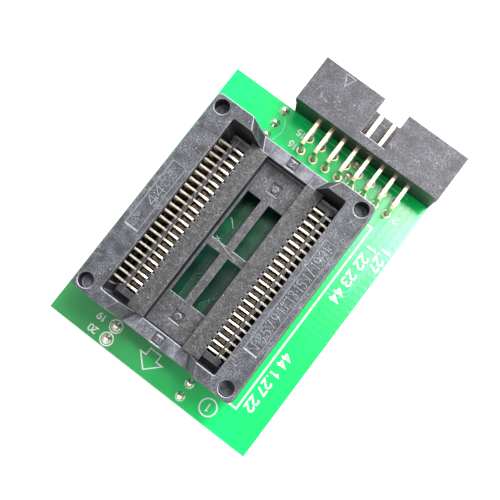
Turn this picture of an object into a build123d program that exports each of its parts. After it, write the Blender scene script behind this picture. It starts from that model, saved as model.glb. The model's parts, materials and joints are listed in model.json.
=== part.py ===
from build123d import *
import os
from math import cos, hypot, pi, radians, sin, sqrt, tan

os.makedirs("parts", exist_ok=True)

# Programming socket adapter, in millimetres.
# The origin is the middle of the plug's pin field, on the plane where the pin strips
# sit down on the socket below. +Z is up, +Y runs along the pin rows to the boxed header.

# Plug: two rows of square pins under the board
pin_pitch = 2.54
pins_per_row = 20
row_gap = 15.24
pin_size = 0.64
pin_reach = 3.3
pin_proud = 0.7
strip_height = 2.5
strip_nick_share = 0.28

# Board: as long as the pin rows, a little off their middle
board_width = 40.0
board_thickness = 1.6
board_shift_x = 1.6
board_shift_y = -0.13

# Chip seat: two ledges, the recess between them and its four windows
ledge_span = 13.8
ledge_top = 9.7
recess_share = 0.555
recess_drop = 3.7
recess_plate = 1.4
tower_wall = 1.5
tower_end_wall = 1.35
window_share = 0.355
window_rib = 1.45
window_length = 9.3
mark_size = 2.0
mark_depth = 0.35
mark_ring_d = 1.1
mark_setback = 3.15
tip_notch_depth = 0.4
tip_notch_drop = 0.75
rib_thickness = 0.5
rib_drop = 1.2

# Row of contacts and the place of the socket's middle on the board
socket_x = 0.0
socket_y = -1.38
contact_count = 22
contact_pitch = 1.27
sheet = 0.35

# Contact: one stamped sheet, drawn in the plane across the rows.
# The spring is a C about the flexure centre; the jaw is its upper half.
flex_offset = 2.2
leaf_width = 0.45
foot_height = 0.6
spring_lift = 1.3
tip_overlap = 0.1
tip_rise = 0.25
tip_length = 0.6
prong_offset = 1.6
prong_width = 0.45
prong_drop = 0.4
lever_reach = 3.55
lever_drop = 0.3
lever_height = 0.42
tail_offset = 0.3
tail_stagger = 1.9
tail_width = 0.4
tail_proud = 1.2
flex_gap = 0.05

# Comb that keeps the contacts apart
comb_thickness = 0.75
comb_drop = 0.25
comb_height = 1.75
comb_slot_depth = 0.6
comb_block_gap = 0.44
comb_block_length = 1.05
comb_block_side = 0.08

# Cover: a frame that slides down on the base
cover_top = 15.7
skirt_bottom = 6.4
cover_draft = 2.2
cover_corner = 0.7
stroke = 2.6
lip_width = 4.15
end_beam = 2.05
end_space = 0.95
opening_corner = 0.3
beam_thickness = 2.0
dip_floor_share = 0.339
dip_rim_share = 0.486
dip_flare = 0.53
bar_lip = 1.4
bar_wall = 1.35
lever_swing = 0.957
cam_setback = 0.65
cam_clearance = 0.92
beam_mark_size = 1.9
beam_mark_setback = 0.3
beam_mark_island = 1.2
beam_line_x = 3.7
beam_line_width = 0.12
panel_depth = 0.12
panel_width = 2.33
panel_edge = 0.9
panel_long = 19.8
panel_short = 11.7
panel_shift = -0.3
tool_hole_d = 2.4
tool_hole_depth = 3.0
tool_hole_inset = 1.68

# Flange of the base and the rails that the hooks catch
flange_height = 3.0
flange_corner = 1.5
flange_inset = 0.25
rail_thickness = 0.9
rail_catch = 1.25
rail_setback = 0.35
peg_d = 1.6
peg_share = 0.424
joint_channel_width = 2.3
joint_channel_height = 1.4

# Hooks that hold the cover down
hook_share = 0.278
hook_width = 2.4
hook_thickness = 1.0
hook_root = 1.5
barb_reach = 0.6
barb_height = 1.05
hook_air = 0.3

# Return springs
spring_d = 2.3
spring_wire = 0.3
spring_turns = 4
spring_sides = 6
pocket_roof = 0.8
post_height = 1.3

# Boxed header at the far end of the board
header_pins = 8
header_pitch = 2.54
header_x = 7.66
header_pin = 0.64
shroud_end = 4.96
shroud_height = 8.9
shroud_depth = 8.15
shroud_floor = 1.35
shroud_side = 1.15
shroud_wall = 1.25
shroud_sink = 0.95
shroud_lip = 0.27
shroud_lip_height = 2.2
key_width = 4.7
header_pin_setback = 1.0
header_bend = 0.75
header_tail = 1.4

# Flats of a small round form that repeats, such as the board's hundred holes
flats = 6

# Clearances
slide_gap = 0.15
fit_gap = 0.05
drill_gap = 0.1
stop_gap = 0.1
board_gap = 0.03
strip_gap = 0.43
overcut = 1.0

# Plug and board, worked out
diagonal = sqrt(2)
joint_x = row_gap / 2
pin_ys = [(i - (pins_per_row - 1) / 2) * pin_pitch for i in range(pins_per_row)]
board_length = pins_per_row * pin_pitch
board_top = strip_height + board_thickness
board_end_y = board_shift_y + board_length / 2
socket_place = Location((socket_x, socket_y, board_top))

# Contacts, worked out from the chip seat
contact_ys = [(i - (contact_count - 1) / 2) * contact_pitch for i in range(contact_count)]
row_end = contact_ys[-1] + sheet / 2
flex_x = ledge_span / 2 + flex_offset
tip_x = ledge_span / 2 - tip_overlap
tip_top = ledge_top + tip_rise
spring_foot = flange_height + spring_lift
flex_radius = (ledge_top - leaf_width / 4 - spring_foot) / 2 - leaf_width / 2
flex_z = spring_foot + leaf_width / 2 + flex_radius
prong_x = flex_x - prong_offset
prong_top = ledge_top - prong_drop
lever_x = flex_x + lever_reach
lever_z = ledge_top - lever_drop
tail_inner_x = flex_x + tail_offset
tail_outer_x = tail_inner_x + tail_stagger
foot_outer = tail_outer_x + foot_height
strip_width = 2 * (tail_inner_x - tail_width / 2 - strip_gap - joint_x)
comb_top = ledge_top - comb_drop
comb_block_start = row_end + comb_block_gap
comb_block_end = comb_block_start + comb_block_length

# Cover, worked out from the reach of the levers and the length of the row
draft_run = (cover_top - skirt_bottom) * tan(radians(cover_draft))
cavity_wall_x = lever_x + lever_swing
cavity_end = row_end + 2 * comb_block_gap
cam_inner = cavity_wall_x - cam_setback
cover_width = 2 * (cavity_wall_x + bar_wall - draft_run)
opening_width = cover_width - 2 * lip_width
opening_length = 2 * (comb_block_end + end_space)
cover_length = opening_length + 2 * end_beam
tool_gap_x = cover_width - 2 * tool_hole_inset
tool_gap_y = cover_length - 2 * tool_hole_inset
spring_roof = cover_top - tool_hole_depth - pocket_roof
hook_y = hook_share * 2 * cavity_end
hook_foot = stroke + hook_air
beam_top = skirt_bottom + beam_thickness

# Base, worked out from the seat and the cover
ledge_length = opening_length - 2 * stop_gap
recess_width = recess_share * ledge_span
recess_floor = ledge_top - recess_drop
window_width = window_share * recess_width
mark_y = ledge_length / 2 - mark_setback
flange_width = cover_width - 2 * flange_inset
flange_length = cover_length - 2 * flange_inset
peg_y = peg_share * flange_length
pad_top = skirt_bottom - stroke - stop_gap
rail_inner = lever_x - rail_setback
rail_top = hook_foot + barb_height + stop_gap + rail_catch
corners = [(sx, sy) for sx in (-1, 1) for sy in (-1, 1)]

# Header, worked out; its inner row of holes is level with a nick of the pin strip
header_place = Location((header_x, board_end_y, board_top))
header_xs = [(i - (header_pins - 1) / 2) * header_pitch for i in range(header_pins)]
header_inner_row = pin_pitch + board_shift_y
header_upper_z = shroud_height / 2 - shroud_sink + header_pitch / 2
header_lower_z = header_upper_z - header_pitch
shroud_width = (header_pins - 1) * header_pitch + 2 * shroud_end


def block(x0, x1, y0, y1, z0, z1):
    """Box between two opposite corners, given in either order."""
    box = Box(abs(x1 - x0), abs(y1 - y0), abs(z1 - z0))
    return box.moved(Location(((x0 + x1) / 2, (y0 + y1) / 2, (z0 + z1) / 2)))


def post(x, y, z0, z1, size):
    """Upright square pin between two heights."""
    return Box(size, size, z1 - z0).moved(Location((x, y, (z0 + z1) / 2)))


def peg(x, y, z0, z1, d):
    """Upright cylinder between two heights."""
    return Cylinder(d / 2, z1 - z0).moved(Location((x, y, (z0 + z1) / 2)))


def drill(x, y, z0, z1, d):
    """Upright prism that stands for a small round hole or post that repeats."""
    outline = RegularPolygon(radius=d / 2, side_count=flats, major_radius=False)
    return extrude(outline, amount=z1 - z0).moved(Location((x, y, z0)))


def bar_along_y(points, y0, y1):
    """Solid with an outline given as (x, z) points, running from y0 to y1."""
    face = make_face(Polyline(*[(x, y0, z) for x, z in points], close=True))
    return extrude(face, amount=y1 - y0, dir=(0, 1, 0))


def bar_along_x(points, x0, x1):
    """Solid with an outline given as (y, z) points, running from x0 to x1."""
    face = make_face(Polyline(*[(x0, y, z) for y, z in points], close=True))
    return extrude(face, amount=x1 - x0, dir=(1, 0, 0))


def solids_of(shapes):
    """Flat list of the solids in a list of shapes."""
    return [solid for shape in shapes for solid in shape.solids()]


def group(shapes):
    """Separate solids kept together as one node."""
    return Compound(children=solids_of(shapes))


def mirrored(shape):
    """The same piece for the other side of the socket."""
    return mirror(shape, about=Plane.YZ)


# Board and plug

def tail_spots():
    """Places of the contact tails, staggered in two lines a side."""
    spots = []
    for i, y in enumerate(contact_ys):
        x = tail_inner_x if i % 2 == 0 else tail_outer_x
        spots += [(x, y), (-x, y)]
    return spots


def header_spots():
    """Places of the header's holes, seen from the board's end."""
    rows = [-header_inner_row, -header_inner_row - header_pitch]
    return [(x, y) for x in header_xs for y in rows]


def board():
    plate = block(-board_width / 2, board_width / 2, -board_length / 2, board_length / 2,
                  0, board_thickness)
    plate = plate.moved(Location((board_shift_x, board_shift_y, strip_height)))
    holes = []
    for y in pin_ys:
        for side in (-1, 1):
            holes.append(drill(side * joint_x, y, strip_height, board_top,
                               pin_size * diagonal + 2 * drill_gap))
    for x, y in tail_spots():
        hole = drill(x, y, -board_thickness, 0, hypot(tail_width, sheet) + 2 * drill_gap)
        holes.append(hole.moved(socket_place))
    for x, y in header_spots():
        hole = drill(x, y, -board_thickness, 0, header_pin * diagonal + 2 * drill_gap)
        holes.append(hole.moved(header_place))
    for side in (-1, 1):
        bore = peg(0, side * peg_y, -board_thickness, 0, peg_d + 2 * drill_gap)
        holes.append(bore.moved(socket_place))
    return plate - holes


def plug_strip(side):
    """Insulating strip of one pin row, nicked between its pins."""
    length = pins_per_row * pin_pitch
    half = strip_width / 2
    nick = strip_nick_share * strip_width
    outline = []
    for edge in (-1, 1):
        for i in range(pins_per_row):
            y = edge * (i * pin_pitch - length / 2)
            outline.append((edge * (half - nick), y))
            outline.append((edge * half, y + edge * pin_pitch / 2))
        outline.append((edge * (half - nick), edge * length / 2))
    strip = extrude(make_face(Polyline(*outline, close=True)), amount=strip_height)
    bores = [post(0, y, 0, strip_height, pin_size + 2 * fit_gap) for y in pin_ys]
    return (strip - bores).moved(Location((side * joint_x, 0, 0)))


def plug_pins(side):
    pin = post(0, 0, -pin_reach, board_top + pin_proud, pin_size)
    return group([pin.moved(Location((side * joint_x, y, 0))) for y in pin_ys])


# Socket base

def flange():
    """Foot of the base with raised end pads and the two rails for the hooks."""
    plate = extrude(RectangleRounded(flange_width, flange_length, flange_corner), amount=flange_height)
    pads = extrude(RectangleRounded(flange_width, flange_length, flange_corner), amount=pad_top)
    inner = comb_block_end + fit_gap
    pads -= block(-flange_width, flange_width, -inner, inner, flange_height, pad_top)
    rail_end = cavity_end - slide_gap
    rails = [block(side * rail_inner, side * (rail_inner + rail_thickness), -rail_end, rail_end,
                   0, rail_top) for side in (-1, 1)]
    return plate + pads + rails


def tower():
    """Two ledges for the chip, the low plate between them and its four windows."""
    half = ledge_span / 2
    end = ledge_length / 2
    body = block(-half, half, -end, end, 0, ledge_top)
    body -= block(-recess_width / 2, recess_width / 2, -end, end, recess_floor, ledge_top)
    near = window_rib / 2
    for sx, sy in corners:
        body -= block(sx * near, sx * (near + window_width), sy * near, sy * (near + window_length),
                      0, recess_floor)
    for side in (-1, 1):
        pocket = block(-mark_size / 2, mark_size / 2, -mark_size / 2, mark_size / 2,
                       recess_floor - mark_depth, recess_floor)
        pocket -= peg(0, 0, recess_floor - mark_depth, recess_floor, mark_ring_d)
        body -= pocket.moved(Location((0, side * mark_y, 0)))
    return body


def tip_notches():
    """Slots in the rims of the ledges, one for each contact tip."""
    half = ledge_span / 2
    slot = sheet + 2 * fit_gap
    return [block(side * (half - tip_notch_depth), side * (half + overcut), y - slot / 2, y + slot / 2,
                  ledge_top - tip_notch_drop, ledge_top + overcut)
            for side in (-1, 1) for y in contact_ys]


def contact_ribs():
    """Ribs on the outer faces of the ledges, one between each two contacts."""
    half = ledge_span / 2
    return [block(side * half, side * (flex_x - comb_thickness / 2 - slide_gap),
                  y + (contact_pitch - rib_thickness) / 2, y + (contact_pitch + rib_thickness) / 2,
                  flange_height, ledge_top - rib_drop)
            for side in (-1, 1) for y in contact_ys[:-1]]


def socket_base():
    base = flange() + tower() + contact_ribs()
    cuts = tip_notches()
    cored_x, cored_y = ledge_span / 2 - tower_wall, ledge_length / 2 - tower_end_wall
    cuts.append(block(-cored_x, cored_x, -cored_y, cored_y, 0, recess_floor - recess_plate))
    wide, long = tail_width / 2 + fit_gap, contact_ys[-1] + sheet
    for x in (tail_inner_x, tail_outer_x, -tail_inner_x, -tail_outer_x):
        cuts.append(block(x - wide, x + wide, -long, long, 0, flange_height))
    for side in (-1, 1):
        low, high = joint_x - joint_channel_width / 2, joint_x + joint_channel_width / 2
        cuts.append(block(side * low, side * high, -flange_length, flange_length,
                          0, joint_channel_height))
    width = hook_width / 2 + slide_gap
    hook_inner = rail_inner + rail_thickness - barb_reach
    ceiling = hook_foot + barb_height + stop_gap
    for sx, sy in corners:
        cuts.append(block(sx * hook_inner, sx * flange_width, sy * hook_y - width, sy * hook_y + width,
                          0, ceiling))
    base -= cuts
    for sx, sy in corners:
        x, y = sx * tool_gap_x / 2, sy * tool_gap_y / 2
        base += drill(x, y, pad_top, pad_top + post_height, spring_d - 2 * spring_wire - 4 * slide_gap)
    for side in (-1, 1):
        base += peg(0, side * peg_y, -board_thickness, pad_top / 2, peg_d)
    return base.moved(socket_place)


# Contacts and combs, drawn for the +X side

def on_c(radius, angle):
    """Point of the C spring at an angle above the outward direction."""
    return (flex_x + radius * cos(radians(angle)), flex_z + radius * sin(radians(angle)))


def contact_foot(tail_x):
    """Outline of the fixed half: tail, foot, fixed prong and lower half of the C."""
    inner, outer = flex_radius - leaf_width / 2, flex_radius + leaf_width / 2
    low, high = flange_height, flange_height + foot_height
    cut = flex_gap / 2
    return [(prong_x - prong_width / 2, low), (tail_x - tail_width / 2, low),
            (tail_x, -board_thickness - tail_proud), (tail_x + tail_width / 2, low),
            (foot_outer, low), (foot_outer, high), (flex_x + leaf_width, high),
            on_c(outer, -38), (flex_x + outer, flex_z - cut),
            (flex_x + inner, flex_z - cut), on_c(inner, -45), on_c(inner, -90), (flex_x, high),
            (prong_x + prong_width / 2, high), (prong_x + prong_width / 2, prong_top),
            (prong_x - prong_width / 2, prong_top)]


def contact_jaw():
    """Outline of the moving half: upper half of the C, lever and tip."""
    inner, outer = flex_radius - leaf_width / 2, flex_radius + leaf_width / 2
    cut = flex_gap / 2
    nick = flex_x - leaf_width
    tip_low = tip_top - leaf_width
    return [(flex_x + inner, flex_z + cut), (flex_x + outer, flex_z + cut), on_c(outer, 30),
            (lever_x, lever_z - lever_height), (lever_x - lever_height / 3, lever_z),
            on_c(outer, 62), (nick, tip_top - leaf_width / 4), (tip_x + tip_length, tip_top),
            (tip_x, tip_top - leaf_width / 2), (tip_x, tip_low), (nick, tip_low),
            on_c(inner, 85), on_c(inner, 45)]


def row_of(pieces_by_parity, side):
    """One row of contacts, in place on one side of the socket."""
    row = [pieces_by_parity[i % 2].moved(Location((0, y, 0))) for i, y in enumerate(contact_ys)]
    if side < 0:
        row = [mirrored(piece) for piece in row]
    return group([piece.moved(socket_place) for piece in row])


def contact_springs(side):
    pieces = [bar_along_y(contact_foot(x), -sheet / 2, sheet / 2) for x in (tail_inner_x, tail_outer_x)]
    return row_of(pieces, side)


def contact_jaws(side):
    jaw = bar_along_y(contact_jaw(), -sheet / 2, sheet / 2)
    return row_of([jaw, jaw], side)


def comb(side):
    """Slotted bar between two end blocks that stand in the well of the base."""
    low, high = flex_x - comb_thickness / 2, flex_x + comb_thickness / 2
    piece = block(low, high, -comb_block_end, comb_block_end, comb_top - comb_height, comb_top)
    for y_side in (-1, 1):
        piece += block(ledge_span / 2 + comb_block_side, flex_x + comb_thickness,
                       y_side * comb_block_start, y_side * comb_block_end, flange_height, prong_top)
    slot = sheet + slide_gap
    piece -= [block(low, high, y - slot / 2, y + slot / 2, comb_top - comb_slot_depth, comb_top)
              for y in contact_ys]
    if side < 0:
        piece = mirrored(piece)
    return piece.moved(socket_place)


# Cover

def cover_block():
    """Outer form of the cover, drawn in a little towards its top."""
    height = cover_top - skirt_bottom
    foot = Rectangle(cover_width + 2 * draft_run, cover_length + 2 * draft_run)
    form = extrude(foot, amount=height, taper=cover_draft)
    form = form.moved(Location((0, 0, skirt_bottom)))
    upright = [e for e in form.edges() if e.bounding_box().size.Z > height / 2]
    return fillet(upright, cover_corner)


def end_dip(side):
    """Space above an end beam, flared outward and upward between sloping cheeks."""
    y0, y1 = opening_length / 2 - overcut, cover_length / 2 + 2 * overcut
    floor_half, rim_half = dip_floor_share * cover_width / 2, dip_rim_share * cover_width / 2
    slope = (rim_half - floor_half) / (cover_top - beam_top)

    def level(z):
        half = floor_half + slope * (z - beam_top)
        near, far = half - dip_flare, half + dip_flare * (y1 - opening_length / 2)
        return make_face(Polyline((-near, side * y0, z), (near, side * y0, z),
                                  (far, side * y1, z), (-far, side * y1, z), close=True))

    return loft([level(beam_top), level(cover_top + overcut)])


def bar_cavity(side):
    """Hollow under a long bar: the lip, the sloping cam and room for the levers."""
    inner, roof, low = opening_width / 2, cover_top - bar_lip, skirt_bottom - overcut
    cam_z = lever_z + cam_clearance
    points = [(inner - overcut, roof), (inner, roof), (cam_inner, cam_z), (cavity_wall_x, cam_z),
              (cavity_wall_x, low), (inner - overcut, low)]
    cavity = bar_along_y(points, -cavity_end, cavity_end)
    return cavity if side > 0 else mirrored(cavity)


def hook(sx, sy):
    """Arm with an inward barb that catches below the rail of the base."""
    inner = rail_inner + rail_thickness + slide_gap
    root = skirt_bottom + hook_root
    points = [(inner, root), (inner, hook_foot + barb_height),
              (inner - barb_reach, hook_foot + barb_height), (inner - barb_reach, hook_foot + barb_height / 2),
              (inner, hook_foot), (inner + hook_thickness, hook_foot),
              (inner + hook_thickness, root)]
    arm = bar_along_y(points, sy * hook_y - hook_width / 2, sy * hook_y + hook_width / 2)
    return arm if sx > 0 else mirrored(arm)


def figure_panel(side, length):
    """Shallow panel for moulded figures on top of a long bar."""
    outer = side * (cover_width / 2 - panel_edge)
    return block(outer - side * panel_width, outer, panel_shift - length / 2, panel_shift + length / 2,
                 cover_top - panel_depth, cover_top + overcut)


def beam_lines():
    """Fine grooves across both end beams, where the mould's inserts meet."""
    half, end = beam_line_width / 2, cover_length / 2 + overcut
    return [block(x - half, x + half, -end, end, beam_top - panel_depth, beam_top + overcut)
            for x in (-beam_line_x, beam_line_x)]


def beam_mark(side):
    """Square groove around a low island in the middle of an end beam."""
    half, island = beam_mark_size / 2, beam_mark_island / 2
    pocket = block(-half, half, -half, half, beam_top - mark_depth, beam_top + overcut)
    pocket -= block(-island, island, -island, island, beam_top - mark_depth, beam_top - panel_depth)
    return pocket.moved(Location((0, side * (opening_length / 2 + beam_mark_setback + half), 0)))


def socket_cover():
    body = cover_block()
    opening = RectangleRounded(opening_width, opening_length, opening_corner)
    body -= extrude(opening, amount=cover_top + overcut)
    body -= [end_dip(side) for side in (-1, 1)]
    body -= [bar_cavity(side) for side in (-1, 1)]
    body -= [figure_panel(-1, panel_short), figure_panel(1, panel_long)] + beam_lines()
    for sx, sy in corners:
        x, y = sx * tool_gap_x / 2, sy * tool_gap_y / 2
        body -= peg(x, y, cover_top - tool_hole_depth, cover_top + overcut, tool_hole_d)
        body -= drill(x, y, skirt_bottom - overcut, spring_roof, spring_d + 2 * slide_gap + 2 * stop_gap)
    body -= [beam_mark(side) for side in (-1, 1)]
    for sx, sy in corners:
        body += hook(sx, sy)
    return body.moved(socket_place)


def return_spring(sx, sy):
    """Coil between the pad of the base and the roof of the pocket in the cover.

    Its turns are many-sided, because there are four coils."""
    height = spring_roof - pad_top - spring_wire
    radius = (spring_d - spring_wire) / 2
    steps = spring_turns * spring_sides
    turn = 2 * pi / spring_sides
    points = [(radius * cos(i * turn), radius * sin(i * turn), height * i / steps)
              for i in range(steps + 1)]
    path = Polyline(*points)
    section = Plane(origin=points[0], z_dir=path % 0) * Rectangle(spring_wire, spring_wire)
    coil = sweep(section, path=path, transition=Transition.RIGHT)
    place = Location((sx * tool_gap_x / 2, sy * tool_gap_y / 2, pad_top + spring_wire / 2))
    return coil.moved(place).moved(socket_place)


# Boxed header, drawn with the board's end at y = 0 and the board's top at z = 0

def header_shroud():
    low, high = -shroud_sink, shroud_height - shroud_sink
    half = shroud_width / 2
    front = board_gap + shroud_depth
    body = block(-half, half, board_gap, front, low, high)
    body += block(-half, half, -shroud_lip, board_gap, high - shroud_lip_height, high)
    body -= block(-half + shroud_side, half - shroud_side, board_gap + shroud_floor, front,
                  low + shroud_wall, high - shroud_wall)
    body -= block(-key_width / 2, key_width / 2, board_gap + shroud_floor, front,
                  high - 2 * shroud_wall, high)
    grip = header_pin / 2 + fit_gap
    body -= [block(x - grip, x + grip, -overcut, front, z - grip, z + grip)
             for x in header_xs for z in (header_lower_z, header_upper_z)]
    return body.moved(header_place)


def header_row(z, reach):
    """Row of square pins, bent down into the board behind the shroud."""
    tip = board_gap + shroud_depth - header_pin_setback
    foot = -board_thickness - header_tail
    half = header_pin / 2
    step = header_bend * (1 - cos(pi / 4))
    outline = [(tip, z + half), (reach + header_bend, z + half), (reach + step - half, z - step + half),
               (reach - half, z - header_bend), (reach - half, foot), (reach + half, foot),
               (reach + half, z - header_bend), (reach + header_bend, z - half), (tip, z - half)]
    pin = bar_along_x(outline, -half, half)
    return group([pin.moved(Location((x, 0, 0))).moved(header_place) for x in header_xs])


def write(name, shape):
    export_step(shape, f"parts/{name}.step")


write("board", board())
write("socket_base", socket_base())
write("socket_cover", socket_cover())
write("header_shroud", header_shroud())
write("header_pins_lower", header_row(header_lower_z, -header_inner_row))
write("header_pins_upper", header_row(header_upper_z, -header_inner_row - header_pitch))
for side, word in ((-1, "left"), (1, "right")):
    write(f"plug_strip_{word}", plug_strip(side))
    write(f"plug_pins_{word}", plug_pins(side))
    write(f"contact_springs_{word}", contact_springs(side))
    write(f"contact_jaws_{word}", contact_jaws(side))
    write(f"contact_comb_{word}", comb(side))
for number, (sx, sy) in enumerate(corners, start=1):
    write(f"return_spring_{number}", return_spring(sx, sy))
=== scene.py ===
import json
import logging
import math
from dataclasses import dataclass, field
from enum import Enum
from functools import cached_property
from typing import Callable, Iterable, Optional, Sequence, Union

import bmesh
import bpy
from mathutils import Matrix, Vector
from mathutils.geometry import tessellate_polygon


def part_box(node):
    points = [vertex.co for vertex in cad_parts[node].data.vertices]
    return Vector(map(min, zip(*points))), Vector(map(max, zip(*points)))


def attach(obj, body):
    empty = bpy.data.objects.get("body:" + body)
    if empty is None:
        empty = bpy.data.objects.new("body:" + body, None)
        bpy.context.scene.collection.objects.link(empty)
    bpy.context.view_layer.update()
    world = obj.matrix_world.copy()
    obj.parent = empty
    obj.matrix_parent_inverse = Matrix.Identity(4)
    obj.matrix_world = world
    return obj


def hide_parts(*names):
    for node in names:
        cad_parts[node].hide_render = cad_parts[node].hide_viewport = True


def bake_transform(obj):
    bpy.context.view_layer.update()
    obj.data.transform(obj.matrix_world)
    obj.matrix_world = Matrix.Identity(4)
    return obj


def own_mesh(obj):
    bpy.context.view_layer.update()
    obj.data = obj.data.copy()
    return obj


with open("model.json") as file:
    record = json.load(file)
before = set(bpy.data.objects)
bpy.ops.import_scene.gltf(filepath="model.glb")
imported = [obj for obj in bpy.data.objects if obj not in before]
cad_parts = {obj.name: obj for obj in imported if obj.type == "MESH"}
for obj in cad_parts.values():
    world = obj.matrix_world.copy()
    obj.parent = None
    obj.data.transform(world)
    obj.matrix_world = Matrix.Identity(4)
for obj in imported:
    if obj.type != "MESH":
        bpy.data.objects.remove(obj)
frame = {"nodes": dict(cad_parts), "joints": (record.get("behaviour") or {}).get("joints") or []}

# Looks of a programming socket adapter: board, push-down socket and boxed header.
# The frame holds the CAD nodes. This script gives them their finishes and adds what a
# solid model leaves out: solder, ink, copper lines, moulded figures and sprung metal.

logging.basicConfig(level=logging.INFO, format="%(message)s")
LOG = logging.getLogger("scene")

MM = 0.001
SHARP_EDGE = math.radians(40)
SOFT_STEP = 0.1  # Millimetres over which a zone of a material fades
MITRE_LIMIT = 0.4  # Smallest cosine that a mitre is drawn for in full
LAYER_STEP = 0.003  # Millimetres between strokes of a figure that cross
Point = tuple[float, float]
Outline = Sequence[Point]
Socket = bpy.types.NodeSocket
Value = Union[Socket, float, str, Sequence[float]]

# Distance between plain figures as a share of their width, and the share of it for a point or space
FIGURE_PITCH, NARROW = 1.32, 0.55
FIELD_WIDTH, FIELD_HEIGHT = 4, 6
# Their strokes, on that field
SIX = ((3.5, 6), (1.4, 5.1), (0, 3), (0, 1), (1, 0), (3, 0), (4, 1), (4, 2.5), (3, 3.4), (1, 3.4), (0.1, 2.4))
STROKES: dict[str, tuple[Outline, ...]] = {
    "0": (((1, 0), (3, 0), (4, 1), (4, 5), (3, 6), (1, 6), (0, 5), (0, 1), (1, 0)),),
    "1": (((0.9, 4.8), (2.2, 6), (2.2, 0)),),
    "2": (((0, 5), (1, 6), (3, 6), (4, 5), (4, 4), (0.2, 0), (4, 0)),),
    "3": (((0, 5.2), (1, 6), (3, 6), (4, 5), (4, 4.1), (3, 3.2), (1.5, 3.2)),
          ((2.9, 3.2), (4, 2.2), (4, 1), (3, 0), (1, 0), (0, 0.8))),
    "4": (((3, 0), (3, 6), (0, 1.9)), ((0, 1.9), (4.2, 1.9))),
    "5": (((3.8, 6), (0.5, 6), (0.3, 3.4), (2.8, 3.6), (4, 2.6), (4, 1.1), (2.8, 0), (1, 0), (0, 0.8)),),
    "6": (SIX,),
    "7": (((0, 6), (4, 6), (1.4, 0)),),
    "8": (((1, 3.2), (0.2, 4.1), (0.2, 5.2), (1, 6), (3, 6), (3.8, 5.2), (3.8, 4.1), (3, 3.2), (1, 3.2)),
          ((1, 3.2), (0, 2.2), (0, 1), (1, 0), (3, 0), (4, 1), (4, 2.2), (3, 3.2))),
    "9": (tuple((FIELD_WIDTH - x, FIELD_HEIGHT - y) for x, y in SIX),),
    ".": (((1.2, 0.2), (2.0, 0.2)),),
    " ": (),
}


# Colours

def linear(hex_colour: str) -> tuple[float, float, float, float]:
    """Turn an sRGB hex colour into the linear colour that shaders use.

    Args:
        hex_colour: Six hex digits with a leading hash.

    Returns:
        Red, green, blue and an alpha of one.
    """
    channels = [int(hex_colour[i:i + 2], 16) / 255 for i in (1, 3, 5)]
    lin = [c / 12.92 if c <= 0.04045 else ((c + 0.055) / 1.055) ** 2.4 for c in channels]
    return (lin[0], lin[1], lin[2], 1.0)


# Shader building

class Node(Enum):
    """Shader nodes in use: kind, inputs in the order that they are given, usual output, options."""
    TIMES = ("Math", (0, 1), 0, {"operation": "MULTIPLY"})
    PLUS = ("Math", (0, 1), 0, {"operation": "ADD"})
    MINUS = ("Math", (0, 1), 0, {"operation": "SUBTRACT"})
    LARGER = ("Math", (0, 1), 0, {"operation": "MAXIMUM"})
    SIZE = ("Math", (0,), 0, {"operation": "ABSOLUTE"})
    SPREAD = ("MapRange", ("Value", "From Min", "From Max", "To Min", "To Max"), 0, {})
    BLEND = ("Mix", (0, 6, 7), 2, {"data_type": "RGBA"})
    PLACE = ("TexCoord", (), "Object", {})
    SCALED = ("VectorMath", (0, "Scale"), 0, {"operation": "SCALE"})
    STRETCHED = ("VectorMath", (0, 1), 0, {"operation": "MULTIPLY"})
    ALIKE = ("VectorMath", (0, 1), "Value", {"operation": "DOT_PRODUCT"})
    PART = ("SeparateXYZ", (0,), "Z", {})
    FACE = ("NewGeometry", (), "True Normal", {})
    ROUNDED = ("Bevel", ("Radius",), 0, {"samples": 6})
    OPEN = ("AmbientOcclusion", ("Distance",), "AO", {"samples": 6})
    CLOUDS = ("TexNoise", ("Vector", "Scale", "Detail", "Roughness"), 0, {})
    POINTS = ("TexVoronoi", ("Vector", "Scale"), "Distance", {})
    WARP = ("TexWave", ("Vector", "Scale", "Distortion"), "Fac", {"bands_direction": "X"})
    WEFT = ("TexWave", ("Vector", "Scale", "Distortion"), "Fac", {"bands_direction": "Y"})
    RELIEF = ("Bump", ("Height", "Distance", "Normal"), 0, {})
    SURFACE = ("BsdfPrincipled", (), 0, {})
    MATT = ("BsdfDiffuse", ("Color",), 0, {})
    GLOW = ("Emission", ("Color", "Strength"), 0, {})
    BOTH = ("AddShader", (0, 1), 0, {})
    CHOICE = ("MixShader", (0, 1, 2), 0, {})
    PATH = ("LightPath", (), 0, {})
    SKY = ("Background", ("Color", "Strength"), 0, {})
    MATERIAL_END = ("OutputMaterial", ("Surface",), 0, {})
    WORLD_END = ("OutputWorld", ("Surface",), 0, {})


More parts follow.
